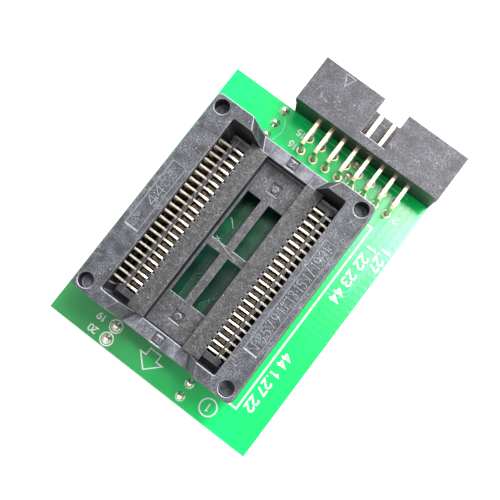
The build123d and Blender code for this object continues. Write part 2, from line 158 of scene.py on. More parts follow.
class Shader:
    """Node tree of one material or of the surroundings, and the patterns that finishes share."""

    def __init__(self, tree: bpy.types.NodeTree) -> None:
        """Empty the tree that is to be filled."""
        self.tree = tree
        tree.nodes.clear()

    def add(self, node: Node, *values: Value, out: Optional[str] = None, **named: Value) -> Optional[Socket]:
        """Add a node with its settings and links.

        Args:
            node: Which of the nodes in use.
            values: What its inputs take: a number, a hex colour, a vector or another node's output.
            out: Name of the output, where it isn't the usual one.
            named: What further inputs take, by name with underscores for spaces.

        Returns:
            The output, or none where the node ends the tree.
        """
        kind, inputs, output, options = node.value
        new = self.tree.nodes.new("ShaderNode" + kind)
        for option, setting in options.items():
            setattr(new, option, setting)
        given = dict(zip(inputs, values))
        given.update((name.replace("_", " "), value) for name, value in named.items())
        for name, value in given.items():
            if isinstance(value, Socket):
                self.tree.links.new(value, new.inputs[name])
            else:
                new.inputs[name].default_value = linear(value) if isinstance(value, str) else value
        return new.outputs[out or output] if new.outputs else None

    def all_of(self, *masks: Value) -> Value:
        """Join masks into one that is full only where each of them is.

        Args:
            masks: Shares from zero to one.

        Returns:
            Their product.
        """
        share = masks[0]
        for mask in masks[1:]:
            share = self.add(Node.TIMES, share, mask)
        return share

    def layered(self, ground: Value, *layers: tuple[Value, Value]) -> Value:
        """Lay colours over a ground, one after another.

        Args:
            ground: Lowest colour.
            layers: For each colour, the share that it covers, and the colour.

        Returns:
            What shows.
        """
        for share, colour in layers:
            ground = self.add(Node.BLEND, share, ground, colour)
        return ground

    @cached_property
    def mm(self) -> Socket:
        """Place on the piece, in millimetres."""
        return self.add(Node.SCALED, self.add(Node.PLACE), 1 / MM)

    def axis(self, which: str) -> Socket:
        """One coordinate of the place on the piece, in millimetres."""
        return self.add(Node.PART, self.mm, out=which)

    def off(self, value: Socket, level: float) -> Socket:
        """How far a value lies from a level."""
        return self.add(Node.SIZE, self.add(Node.MINUS, value, level))

    def facing(self) -> Socket:
        """How far the true surface faces up or down."""
        return self.add(Node.PART, self.add(Node.FACE))

    def edges(self, soft: Socket) -> Socket:
        """Mask of the sharp edges, where a rounded normal departs from the true one."""
        return self.add(Node.SPREAD, self.add(Node.ALIKE, soft, self.add(Node.FACE)), 0.998, 0.965)

    def corners(self, reach_mm: float) -> Socket:
        """Mask of inner corners and narrow grooves, where painted shade falls."""
        return self.add(Node.SPREAD, self.add(Node.OPEN, reach_mm * MM), 0.9, 0.55)

    def clouds(self, size_mm: float, detail: float = 3.0, dense: Sequence[float] = (1, 1, 1)) -> Socket:
        """Cloudy pattern.

        Args:
            size_mm: Size of its lumps.
            detail: How many finer patterns lie over it.
            dense: How dense they lie along each axis; less than one draws them out.

        Returns:
            A value around one half.
        """
        place = self.add(Node.STRETCHED, self.mm, dense)
        return self.add(Node.CLOUDS, place, 1 / size_mm, detail, 0.6)

    def hairlines(self, size_mm: float, width: float) -> Socket:
        """Fine curling lines, as wiping and handling leave."""
        return self.add(Node.SPREAD, self.off(self.clouds(size_mm, 1), 0.5), width, 0.0)

    def seen(self) -> Value:
        """Find the rays that show the surroundings to the eye.

        Returns:
            One for what the camera sees straight, in gloss or through glass, and else zero.
        """
        share = 0.0
        for ray in ("Is Camera Ray", "Is Glossy Ray", "Is Transmission Ray"):
            share = self.add(Node.LARGER, share, self.add(Node.PATH, out=ray))
        return share


def make_material(name: str, shade: Callable[[Shader], Socket]) -> bpy.types.Material:
    """Make a material.

    Args:
        name: Its name.
        shade: Adds its nodes to a tree and gives the surface.

    Returns:
        The material.
    """
    material = bpy.data.materials.new(name)
    material.use_nodes = True
    s = Shader(material.node_tree)
    s.add(Node.MATERIAL_END, shade(s))
    return material


# Finishes

@dataclass(frozen=True)
class Finish:
    """Something a piece is made of, named for the real material.

    Args:
        name: Name of the material.
        slot: Material slot of the record that it stands for; not used.
    """
    name: str
    slot: str

    def shade(self, s: Shader) -> Socket:
        """Add the material's nodes to s and give its surface."""
        raise NotImplementedError

    @property
    def material(self) -> bpy.types.Material:
        """The material, built once."""
        return bpy.data.materials.get(self.name) or make_material(self.name, self.shade)


@dataclass(frozen=True)
class MouldedPlastic(Finish):
    """Black glass-filled plastic. Its grey look is the lamp's sheen on a rough skin.

    Args:
        dark: Colour in the pits.
        light: Colour of the rubbed skin.
        smooth: Lowest roughness, where the skin was rubbed.
        rough: Highest roughness, in the matt patches.
        mottle_mm: Size of the patches.
        grain_mm: Size of the mould's texture.
        grain_depth_mm: Depth of the texture.
        dust: Share of pale points.
        edge_mm: Radius of the moulded edges.
        hair: Strength of the fine scratches.
        amber: Near and far distance from the middle and top of the zone that gets a painted gold reflection.
        pale: Heights in the part of the faces that get a painted sheen, and how much.
        rubbed: Colour of the worn edges, which also carries a painted highlight on the edges facing the header.
        dust_colour: Colour of dust and of fibre ends.
        dust_mm: Distance between the points of dust.
        dust_patch_mm: Size of the patches that dust gathers in.
        dirt: Colour of the painted shade on steep walls and in inner corners.
        corner_mm: How far the painted shade reaches out of a corner.
        scratch: Colour of the fine scratches.
        scratch_mm: Sizes of their curls, and of the patches that break them up.
        haze: Colour of the painted sheen on those faces.
        haze_mm: Size of the clouds in that sheen.
        warm: Darkest and lightest colour of the painted gold reflection.
    """
    dark: str = "#121318"
    light: str = "#767883"
    smooth: float = 0.42
    rough: float = 0.64
    mottle_mm: float = 1.6
    grain_mm: float = 0.22
    grain_depth_mm: float = 0.02
    dust: float = 0.6
    edge_mm: float = 0.28
    hair: float = 0.0
    amber: Optional[tuple[float, float, float]] = None
    pale: tuple[tuple[float, float], ...] = ()
    rubbed: str = "#CDD0DA"
    dust_colour: str = "#D9DADF"
    dust_mm: float = 0.8
    dust_patch_mm: float = 2.2
    dirt: str = "#0A0C15"
    corner_mm: float = 0.8
    scratch: str = "#A9ABB4"
    scratch_mm: tuple[float, float, float] = (3.1, 1.3, 2.6)
    haze: str = "#AAA8B6"
    haze_mm: float = 2.4
    warm: tuple[str, str] = ("#2C2118", "#6E5B46")

    def shade(self, s: Shader) -> Socket:
        """Patches, grain, dust, worn edges and scratches, with painted shade, painted highlights, painted sheen
        and a painted gold reflection.

        Args:
            s: Node tree of the material.

        Returns:
            The surface.
        """
        soft = s.add(Node.ROUNDED, self.edge_mm * MM)
        edges = s.edges(soft)
        patches = s.add(Node.SPREAD, s.clouds(self.mottle_mm, 6), 0.36, 0.66)
        # The mould's grain is drawn at twice its real size, so that it shows in the render.
        grain = s.clouds(self.grain_mm)
        fine = s.add(Node.SPREAD, grain, 0.42, 0.6)
        # Dust and glass fibre ends show as scattered pale points.
        points = s.all_of(s.add(Node.SPREAD, s.add(Node.POINTS, s.mm, 1 / self.dust_mm), 0.12, 0.06),
                          s.add(Node.SPREAD, s.clouds(self.dust_patch_mm, 2), 0.47, 0.56), self.dust)
        # Painted shade: steep walls are coloured dark, and inner corners are darkened through an occlusion mask.
        steep = s.add(Node.SPREAD, s.add(Node.SIZE, s.facing()), 0.35, 0.15)
        painted_shade_mask = s.add(Node.LARGER, s.all_of(steep, 0.92), s.all_of(s.corners(self.corner_mm), 0.9))
        # Plugging wears all edges paler and smoother; the extra paleness on the header's side, where the lamps
        # are, is a painted highlight.
        side = s.add(Node.SPREAD, s.add(Node.PART, soft, out="Y"), 0.02, 0.3, 0.22, 0.95)
        layers = [(s.all_of(patches, fine), self.light), (points, self.dust_colour), (painted_shade_mask, self.dirt),
                  (s.all_of(edges, side), self.rubbed)]
        if self.hair:
            long, short, patch = self.scratch_mm
            lines = s.add(Node.LARGER, s.hairlines(long, 0.007), s.hairlines(short, 0.01))
            broken = s.add(Node.SPREAD, s.clouds(patch, 1), 0.5, 0.6)
            layers.append((s.all_of(lines, broken, self.hair), self.scratch))
        # Painted sheen: faces at the given heights are clouded paler.
        for level, share in self.pale:
            face = s.add(Node.SPREAD, s.off(s.axis("Z"), level), 0.06, 0.03)
            cloud = s.add(Node.SPREAD, s.clouds(self.haze_mm, 4), 0.38, 0.62, 0.2 * share, 1.6 * share)
            layers.append((s.all_of(face, cloud), self.haze))
        if self.amber:
            near, far, top = self.amber
            across = s.add(Node.SIZE, s.axis("X"))
            zone = s.all_of(s.add(Node.SPREAD, across, near, near + SOFT_STEP),
                            s.add(Node.SPREAD, across, far, far - SOFT_STEP),
                            s.add(Node.SPREAD, s.axis("Z"), top, top - SOFT_STEP))
            # Painted reflection: between the gold contacts the walls are painted a warm brown, as the gold would
            # reflect on them.
            layers.append((zone, s.add(Node.BLEND, fine, *self.warm)))
        rough = s.add(Node.SPREAD, s.add(Node.PLUS, patches, fine), 2.0, 0.0, self.smooth, self.rough)
        return s.add(Node.SURFACE, Base_Color=s.layered(self.dark, *layers), IOR=1.6,
                     Roughness=s.add(Node.MINUS, rough, s.all_of(edges, 0.28)),
                     Normal=s.add(Node.RELIEF, grain, self.grain_depth_mm * MM, soft))


@dataclass(frozen=True)
class BoardLacquer(Finish):
    """Green solder lacquer over glass cloth, glossy on top, with an uncoated matt sawn edge and painted shade
    below the socket.

    Args:
        lacquer: Colour over the copper ground.
        thick: Colour where it lies thicker.
        thin: Duller, paler colour towards the near left corner, a painted shade and painted haze.
        bare: Painted dark shade below the socket.
        bare_far: The same painted shade towards the header.
        zone: Half width, half length and middle along the board of the top that gets the painted shade.
        sawn: Colour of the cut edge of the laminate.
        fibre: Colour of the glass layers in that edge.
        cloud_mm: Size of the clouds of thicker lacquer.
        layer_mm: Thickness of a glass layer.
        weave: Scale of the wave pattern at which one wave takes two yarns of 0.6 mm.
        weave_depth_mm: How deep the weave shows through.
    """
    lacquer: str = "#04E874"
    thick: str = "#02CC62"
    thin: str = "#429454"
    bare: str = "#0E4030"
    bare_far: str = "#1E7D50"
    zone: tuple[float, float, float] = (13.0, 17.0, -1.4)
    sawn: str = "#7FAE86"
    fibre: str = "#4C8A62"
    cloud_mm: float = 9.0
    layer_mm: float = 0.12
    weave: float = 0.26
    weave_depth_mm: float = 0.006

    def shade(self, s: Shader) -> Socket:
        """Clouds of thicker lacquer, painted shade and haze, faint weave and the sawn edge.

        Args:
            s: Node tree of the material.

        Returns:
            The surface.
        """
        clouds = s.add(Node.SPREAD, s.clouds(self.cloud_mm), 0.4, 0.75)
        # Painted shade and haze: towards the near left corner the lacquer is painted duller and paler.
        painted_near_left_shade = s.all_of(s.add(Node.SPREAD, s.axis("X"), 11.0, -6.0, 0.0, 0.8),
                           s.add(Node.SPREAD, s.axis("Y"), 6.0, -10.0))
        # Painted shade below the socket, lighter towards the header.
        half_x, half_y, middle_y = self.zone
        under = s.all_of(s.add(Node.SPREAD, s.add(Node.SIZE, s.axis("X")), half_x, half_x - SOFT_STEP),
                         s.add(Node.SPREAD, s.off(s.axis("Y"), middle_y), half_y, half_y - SOFT_STEP),
                         s.add(Node.SPREAD, s.facing(), 0.4, 0.6))
        far = s.all_of(s.add(Node.SPREAD, s.axis("Y"), -4.0, 6.0), s.add(Node.SPREAD, s.clouds(3.0, 2), 0.3, 0.6))
        face = s.layered(self.lacquer, (clouds, self.thick), (painted_near_left_shade, self.thin),
                         (under, s.add(Node.BLEND, far, self.bare, self.bare_far)))
        flat = s.add(Node.SPREAD, s.add(Node.SIZE, s.facing()), 0.4, 0.6)
        glass = s.add(Node.SPREAD, s.clouds(self.layer_mm, 2, (0.15, 0.15, 1.0)), 0.35, 0.65)
        # The glass cloth telegraphs through as a fine, slightly wavering weave.
        yarns = (s.mm, self.weave, 0.5)
        weave = s.all_of(s.add(Node.WARP, *yarns), s.add(Node.WEFT, *yarns))
        return s.add(Node.SURFACE, Base_Color=s.layered(self.sawn, (glass, self.fibre), (flat, face)), IOR=1.45,
                     Roughness=s.add(Node.SPREAD, flat, 0.0, 1.0, 0.8, 0.2),
                     Normal=s.add(Node.RELIEF, weave, self.weave_depth_mm * MM))


@dataclass(frozen=True)
class PlatedMetal(Finish):
    """Thin plating over copper alloy, stamped or drawn: soft warm glints with duller spots.

    Args:
        bright: Colour of fresh plating.
        worn: Colour where the plating is thin or dull.
        roughness: Middle roughness.
        streak_mm: Size of the marks that the die left.
        streak_depth_mm: Depth of those marks.
        dull_mm: Size of the dull patches.
        rough_mm: Size of the changes in roughness.
        edge_mm: Radius of the edges.
        deep: Colour of the painted shade low in the wells, and heights in the part between which it gives way to
            the plating.
        band: Distance from the middle and half width of a band darkened as a painted shadow of the comb.
        band_colour: Colour of that painted shadow.
    """
    bright: str = "#FFF6E8"
    worn: str = "#DCC8A4"
    roughness: float = 0.4
    streak_mm: float = 0.25
    edge_mm: float = 0.17
    deep: Optional[tuple[str, float, float]] = None
    band: Optional[tuple[float, float]] = None
    band_colour: str = "#2E2119"
    streak_depth_mm: float = 0.004
    dull_mm: float = 0.8
    rough_mm: float = 0.3

    def shade(self, s: Shader) -> Socket:
        """Dull patches, die marks, softened edges, painted shade in the wells and a painted shadow of the comb.

        Args:
            s: Node tree of the material.

        Returns:
            The surface.
        """
        dull = s.add(Node.SPREAD, s.clouds(self.dull_mm, 4), 0.46, 0.8)
        colour = s.add(Node.BLEND, dull, self.bright, self.worn)
        # Painted shade: low in the wells the colour turns brown.
        if self.deep:
            shade, low, high = self.deep
            colour = s.add(Node.BLEND, s.add(Node.SPREAD, s.axis("Z"), low, high), shade, colour)
        # Painted shadow of the comb: a dark band across the metal.
        if self.band:
            middle, half = self.band
            off = s.off(s.add(Node.SIZE, s.axis("X")), middle)
            colour = s.layered(colour, (s.add(Node.SPREAD, off, half, half - 0.08), self.band_colour))
        marks = s.clouds(self.streak_mm, 2, (0.3, 1.0, 0.3))
        return s.add(Node.SURFACE, Base_Color=colour, Metallic=1.0,
                     Roughness=s.add(Node.SPREAD, s.clouds(self.rough_mm), 0.3, 0.7, self.roughness - 0.08,
                                     self.roughness + 0.14),
                     Normal=s.add(Node.RELIEF, marks, self.streak_depth_mm * MM,
                                  s.add(Node.ROUNDED, self.edge_mm * MM)))


@dataclass(frozen=True)
class SolderTin(Finish):
    """Hand-laid solder with a bright skin and traces of flux.

    Args:
        bright: Colour of the skin.
        flux: Colour where flux dried.
        flux_mm: Size of its patches.
        rough_mm: Size of the changes in roughness.
        wave_mm: Size of the waves in the skin.
        wave_depth_mm: Depth of those waves.
    """
    bright: str = "#EDE4DE"
    flux: str = "#A88F7C"
    flux_mm: float = 0.7
    rough_mm: float = 0.4
    wave_mm: float = 0.35
    wave_depth_mm: float = 0.03

    def shade(self, s: Shader) -> Socket:
        """Wavy bright skin, browner where flux dried.

        Args:
            s: Node tree of the material.

        Returns:
            The surface.
        """
        colour = s.add(Node.BLEND, s.add(Node.SPREAD, s.clouds(self.flux_mm), 0.52, 0.72), self.bright, self.flux)
        return s.add(Node.SURFACE, Base_Color=colour, Metallic=1.0,
                     Roughness=s.add(Node.SPREAD, s.clouds(self.rough_mm, 2), 0.3, 0.7, 0.2, 0.45),
                     Normal=s.add(Node.RELIEF, s.clouds(self.wave_mm, 2), self.wave_depth_mm * MM))


@dataclass(frozen=True)
class PrintInk(Finish):
    """White epoxy ink, screened on the lacquer: matt, with green in its thin spots.

    Args:
        ink: Colour of the ink.
        thin: Colour of its thin spots.
        thin_mm: Size of those spots.
        mesh_mm: Size of the bumps that the screen's mesh leaves.
        mesh_depth_mm: Depth of those bumps.
    """
    ink: str = "#FBFDF8"
    thin: str = "#7FDCA8"
    thin_mm: float = 0.25
    mesh_mm: float = 0.1
    mesh_depth_mm: float = 0.006

    def shade(self, s: Shader) -> Socket:
        """Thin spots where the green shows through, and the screen's fine bumps.

        Args:
            s: Node tree of the material.

        Returns:
            The surface.
        """
        share = s.add(Node.SPREAD, s.clouds(self.thin_mm), 0.62, 0.8, 0.0, 0.5)
        return s.add(Node.SURFACE, Base_Color=s.add(Node.BLEND, share, self.ink, self.thin), Roughness=0.55,
                     IOR=1.5, Normal=s.add(Node.RELIEF, s.clouds(self.mesh_mm, 2), self.mesh_depth_mm * MM))


@dataclass(frozen=True)
class CopperUnderLacquer(Finish):
    """Copper line below the lacquer, paler and a little raised.

    Args:
        line: Colour where the lacquer is thin.
        edge: Colour where it is thicker.
        cloud_mm: Size of the changes between them.
        wave_mm: Size of the waves in the lacquer.
        wave_depth_mm: Depth of those waves.
    """
    line: str = "#7DF5B4"
    edge: str = "#2FD98A"
    cloud_mm: float = 1.2
    wave_mm: float = 0.4
    wave_depth_mm: float = 0.004

    def shade(self, s: Shader) -> Socket:
        """Pale green with small changes in the lacquer's thickness.

        Args:
            s: Node tree of the material.

        Returns:
            The surface.
        """
        colour = s.add(Node.BLEND, s.add(Node.SPREAD, s.clouds(self.cloud_mm), 0.35, 0.7), self.line, self.edge)
        return s.add(Node.SURFACE, Base_Color=colour, Roughness=0.28, IOR=1.45,
                     Normal=s.add(Node.RELIEF, s.clouds(self.wave_mm, 2), self.wave_depth_mm * MM))


class Palette(Enum):
    """Every finish of the adapter."""
    # Moulded in a polished tool: patchy grey sheen, scratches, and bar tops made paler by a painted sheen
    COVER = MouldedPlastic("cover_satin_nylon", "cover_plastic", mottle_mm=1.7, grain_depth_mm=0.026, dust=0.9,
                           hair=0.6, pale=((16.8, 0.5), (12.5, 0.28)))
    # Moulded in a spark-eroded tool: coarse matt grain that sparkles, a painted sheen on the seat plate and a
    # painted gold reflection between the contacts
    BASE = MouldedPlastic("base_spark_eroded_nylon", "base_plastic", dark="#19191B", light="#676462", smooth=0.38,
                          rough=0.62, mottle_mm=0.8, grain_mm=0.3, grain_depth_mm=0.06, dust=0.9, edge_mm=0.16,
                          hair=0.3, amber=(6.95, 8.65, 12.75), pale=((10.1, 0.06),))
    # Thin walls that stay darker than what surrounds them
    COMB = MouldedPlastic("comb_nylon", "comb_plastic", dark="#18171B", light="#4C4952", smooth=0.35, rough=0.5,
                          mottle_mm=0.8, grain_mm=0.2, dust=0.4, edge_mm=0.1)
    # Satin skin with an even sheen and a few scratches
    SHROUD = MouldedPlastic("shroud_satin_polyester", "shroud_plastic", dark="#1F1E24", light="#5A5763",
                            rough=0.58, mottle_mm=2.4, grain_mm=0.3, grain_depth_mm=0.012, dust=0.7,
                            edge_mm=0.2, hair=0.45)
    # Raised figures, coloured paler than the panels around them.
    FIGURE = MouldedPlastic("cover_rubbed_figures", "cover_plastic", dark="#6C6E75", light="#A6A8B0", smooth=0.3,
                            rough=0.45, mottle_mm=0.8, grain_mm=0.2, grain_depth_mm=0.01, dust=0.2, edge_mm=0.06)
    # Smooth black strips that nothing rubs
    STRIP = MouldedPlastic("pin_strip_polyester", "strip", dark="#141416", light="#28282C", smooth=0.4, rough=0.55,
                           mottle_mm=1.5, grain_mm=0.25, grain_depth_mm=0.015, dust=0.2, edge_mm=0.08)
    # Bright green that glares in the lamps, and painted near black green shade below the socket
    BOARD = BoardLacquer("green_lacquered_laminate", "board")
    # Pale gold, painted brown low in the wells as shade, and with a painted shadow of the comb
    CONTACT = PlatedMetal("contact_flash_gold", "contact", roughness=0.52, deep=("#5A3D28", 9.4, 12.0),
                          band=(8.95, 0.14))
    # Thin gold on drawn pins: pale with a pink cast
    HEADER_PIN = PlatedMetal("header_pin_pale_gold", "header_pin", bright="#E6D2B6", worn="#BFA17C",
                             roughness=0.36)
    # Thicker gold, yellower and smoother
    PLUG_PIN = PlatedMetal("plug_pin_gold", "plug_pin", bright="#E8C77E", worn="#A98748", roughness=0.25)
    # Drawn steel: cool grey with a fine shine
    WIRE = PlatedMetal("spring_drawn_wire", "spring_steel", bright="#C9CCD0", worn="#7F8388", roughness=0.3,
                       edge_mm=0.03)
    # Bright cones that mirror the lamps in small spots
    SOLDER = SolderTin("solder_tin", "plug_pin")
    # Thin uneven tin: soft warm white
    PAD = PlatedMetal("pad_tinned_ring", "board", bright="#F4E6CC", worn="#D2BC9C", roughness=0.5, edge_mm=0.02)
    # Opaque matt white
    INK = PrintInk("print_white_ink", "board")
    # Soft pale threads
    LINT = PrintInk("lint_of_cotton", "base_plastic", ink="#E4E6EA")
    # Copper that makes the lacquer over it paler
    TRACE = CopperUnderLacquer("trace_under_lacquer", "board")
    # The same below the socket, painted much darker as shade
    TRACE_BARE = CopperUnderLacquer("trace_without_ground", "board", line="#3E8F66", edge="#1F5E43")

    @property
    def material(self) -> bpy.types.Material:
        """Material of the finish."""
        return self.value.material


class Side(Enum):
    """The two rows of contacts."""
    LEFT = -1
    RIGHT = 1

    @property
    def word(self) -> str:
        """Name used in node names."""
        return self.name.lower()


# Places, read from the frame

@dataclass(frozen=True)
class Layout:
    """Places that several pieces share, in millimetres of the part.

    Args:
        board: Lowest and highest corner of the board.
        cover: Lowest and highest corner of the cover.
        shroud: Lowest and highest corner of the header's shroud.
    """
    board: tuple[Vector, Vector]
    cover: tuple[Vector, Vector]
    shroud: tuple[Vector, Vector]

    @classmethod
    def read(cls) -> "Layout":
        """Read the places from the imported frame."""
        nodes = ("board", "socket_cover", "header_shroud")
        return cls(*[tuple(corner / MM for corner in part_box(node)) for node in nodes])

    @property
    def top(self) -> float:
        """Height of the board's top."""
        return self.board[1].z

    @property
    def socket_y(self) -> float:
        """Middle of the socket along the board."""
        return (self.cover[0].y + self.cover[1].y) / 2


# Mesh building

@dataclass
class MeshPen:
    """Collects points and faces of one piece, in millimetres.

    Args:
        points: Its points.
        faces: Numbers of the points of each face.
    """
    points: list[Vector] = field(default_factory=list)
    faces: list[tuple[int, ...]] = field(default_factory=list)

    def add(self, points: Iterable[Vector], faces: Iterable[Sequence[int]]) -> None:
        """Add a patch.

        Args:
            points: Its points.
            faces: Its faces, which count from its own first point.
        """
        start = len(self.points)
        self.points.extend(points)
        self.faces.extend(tuple(start + i for i in face) for face in faces)

    def prism(self, outline: Outline, place: Callable[[float, float, float], Vector],
              low: float, high: float) -> None:
        """Closed prism over an outline.

        Args:
            outline: Corners in the plane of the outline.
            place: Turns the two plane values and the height into a point.
            low: Lower end of the prism.
            high: Upper end of the prism.
        """
        n = len(outline)
        bottom = [place(a, b, low) for a, b in outline]
        top = [place(a, b, high) for a, b in outline]
        fill = tessellate_polygon([[Vector((a, b, 0.0)) for a, b in outline]])
        faces = [tuple(tri) for tri in fill] + [tuple(n + i for i in reversed(tri)) for tri in fill]
        faces += [(i, (i + 1) % n, n + (i + 1) % n, n + i) for i in range(n)]
        self.add(bottom + top, faces)

    def ribbon(self, path: Outline, width: float, low: float, high: float) -> None:
        """Flat line of one width along a path, mitred at its corners.

        Args:
            path: Points of the line; a closed line repeats its first point at its end.
            width: Width of the line.
            low: Height of its lower face.
            high: Height of its upper face.
        """
        closed = math.dist(path[0], path[-1]) < 1e-6
        spots = [Vector(p) for p in (path[:-1] if closed else path)]
        n = len(spots)
        points = []
        for i, spot in enumerate(spots):
            back = (spot - spots[i - 1]).normalized() if closed or i > 0 else None
            ahead = (spots[(i + 1) % n] - spot).normalized() if closed or i < n - 1 else None
            one, two = back or ahead, ahead or back
            middle = (one + two).normalized()
            side = Vector((-middle.y, middle.x)) * (width / 2) / max(middle.dot(one), MITRE_LIMIT)
            for z in (low, high):
                points += [Vector((*(spot + side), z)), Vector((*(spot - side), z))]
        faces = []
        for i in range(n if closed else n - 1):
            a, b = 4 * i, 4 * ((i + 1) % n)
            faces += [(a, b, b + 1, a + 1), (a + 2, a + 3, b + 3, b + 2), (a, a + 2, b + 2, b),
                      (a + 1, b + 1, b + 3, a + 3)]
        if not closed:
            last = 4 * (n - 1)
            faces += [(0, 1, 3, 2), (last, last + 2, last + 3, last + 1)]
        self.add(points, faces)

    def lathe(self, profile: Outline, centre: Vector, steps: int = 24) -> None:
        """Round form turned about an upright axis.

        Args:
            profile: Radius and height pairs from the bottom up; the last lies on the axis.
            centre: Place of the axis and of height zero.
            steps: Number of steps around.
        """
        points = []
        for radius, z in profile[:-1]:
            for i in range(steps):
                turn = 2 * math.pi * i / steps
                points.append(centre + Vector((radius * math.cos(turn), radius * math.sin(turn), z)))
        points.append(centre + Vector((0, 0, profile[-1][1])))
        faces = []
        for ring_number in range(len(profile) - 2):
            for i in range(steps):
                a, b = ring_number * steps + i, ring_number * steps + (i + 1) % steps
                faces.append((a, b, b + steps, a + steps))
        start = (len(profile) - 2) * steps
        faces += [(start + i, start + (i + 1) % steps, start + steps) for i in range(steps)]
        faces.append(tuple(range(steps - 1, -1, -1)))
        self.add(points, faces)

    def tube(self, path: Sequence[Vector], radius: float, steps: int = 8) -> None:
        """Round wire along a path.

        Args:
            path: Middle of the wire.
            radius: Radius of the wire.
            steps: Number of steps around.
        """
        points, faces = [], []
        for k, at in enumerate(path):
            ahead = (path[min(k + 1, len(path) - 1)] - path[max(k - 1, 0)]).normalized()
            out = ahead.cross(Vector((0, 0, 1))).normalized()
            up = out.cross(ahead)
            for i in range(steps):
                turn = 2 * math.pi * i / steps
                points.append(at + radius * (math.cos(turn) * out + math.sin(turn) * up))
        for k in range(len(path) - 1):
            for i in range(steps):
                a, b = k * steps + i, k * steps + (i + 1) % steps
                faces.append((a, b, b + steps, a + steps))
        last = (len(path) - 1) * steps
        faces += [tuple(range(steps - 1, -1, -1)), tuple(last + i for i in range(steps))]
        self.add(points, faces)

    def figures(self, text: str, height: float, at: Point, turn: float, low: float, high: float,
                stroke: float = 0.16, width: float = 0.6) -> None:
        """Plain figures drawn with strokes of one width, centred on a place.

        Args:
            text: Digits, points and spaces.
            height: Height of the figures.
            at: Centre of the text.
            turn: Turn about the upright axis, in degrees.
            low: Height of their lower face.
            high: Height of their upper face.
            stroke: Width of a stroke.
            width: Width of a figure as a share of its height.
        """
        steps = [NARROW if char in ". " else 1.0 for char in text]
        pitch = width * height * FIGURE_PITCH
        start = -pitch * sum(steps) / 2
        spin = Matrix.Rotation(math.radians(turn), 2)
        for number, char in enumerate(text):
            left = start + pitch * (sum(steps[:number]) + (steps[number] - 1 / FIGURE_PITCH) / 2)
            for layer, line in enumerate(STROKES[char]):
                path = [spin @ Vector((left + x / FIELD_WIDTH * width * height, (y / FIELD_HEIGHT - 0.5) * height))
                        for x, y in line]
                # Strokes that cross lie a hair above each other, so that no two faces coincide.
                self.ribbon([(at[0] + p.x, at[1] + p.y) for p in path], stroke, low, high - LAYER_STEP * layer)

    def object(self, name: str, finish: Palette) -> bpy.types.Object:
        """Turn the collected points into a piece with its finish.

        Args:
            name: Name of the piece.
            finish: What it is made of.

        Returns:
            The new object, not yet riding on a body.
        """
        mesh = bpy.data.meshes.new(name)
        mesh.from_pydata([p * MM for p in self.points], [], self.faces)
        shape = bmesh.new()
        shape.from_mesh(mesh)
        bmesh.ops.recalc_face_normals(shape, faces=shape.faces)
        shape.to_mesh(mesh)
        shape.free()
        mesh.materials.append(finish.material)
        mesh.shade_smooth()
        mesh.set_sharp_from_angle(angle=SHARP_EDGE)
        obj = bpy.data.objects.new(name, mesh)
        bpy.context.scene.collection.objects.link(obj)
        LOG.info("piece %s: %d points, %s", name, len(self.points), finish.value.name)
        return obj


def dress(finish: Palette, *nodes: str) -> None:
    """Give CAD nodes their finish.

    Args:
        finish: What they are made of.
        nodes: Names of the nodes.
    """
    for node in nodes:
        mesh = frame["nodes"][node].data
        mesh.materials.clear()
        mesh.materials.append(finish.material)
        LOG.info("node %s: %s", node, finish.value.name)


def arc(centre: Point, radius: float, start: float, end: float, steps: int) -> list[Point]:
    """Points of an arc between two angles in degrees."""
    turns = [math.radians(start + (end - start) * i / steps) for i in range(steps + 1)]
    return [(centre[0] + radius * math.cos(t), centre[1] + radius * math.sin(t)) for t in turns]


def ring(centre: Point, radius: float) -> list[Point]:
    """Points of a closed circle."""
    return arc(centre, radius, 0, 360, 32)


def crossings(node: str, level: float, reach: float = 1.0) -> list[Point]:
    """Places where the solids of a node pass through a level.

    Args:
        node: Name of a CAD node.
        level: Height of the cut, in millimetres.
        reach: Largest distance between two cut edges of one solid.

    Returns:
        Centre of each crossing, in millimetres.
    """
    mesh = frame["nodes"][node].data
    groups: list[list[Point]] = []
    for edge in mesh.edges:
        a, b = (mesh.vertices[i].co / MM for i in edge.vertices)
        if (a.z - level) * (b.z - level) >= 0:
            continue
        at = a.lerp(b, (level - a.z) / (b.z - a.z))
        near = [g for g in groups if math.dist(g[0], (at.x, at.y)) < reach]
        if near:
            near[0].append((at.x, at.y))
        else:
            groups.append([(at.x, at.y)])
    return [tuple((min(p[k] for p in g) + max(p[k] for p in g)) / 2 for k in (0, 1)) for g in groups]


# Sub-assemblies

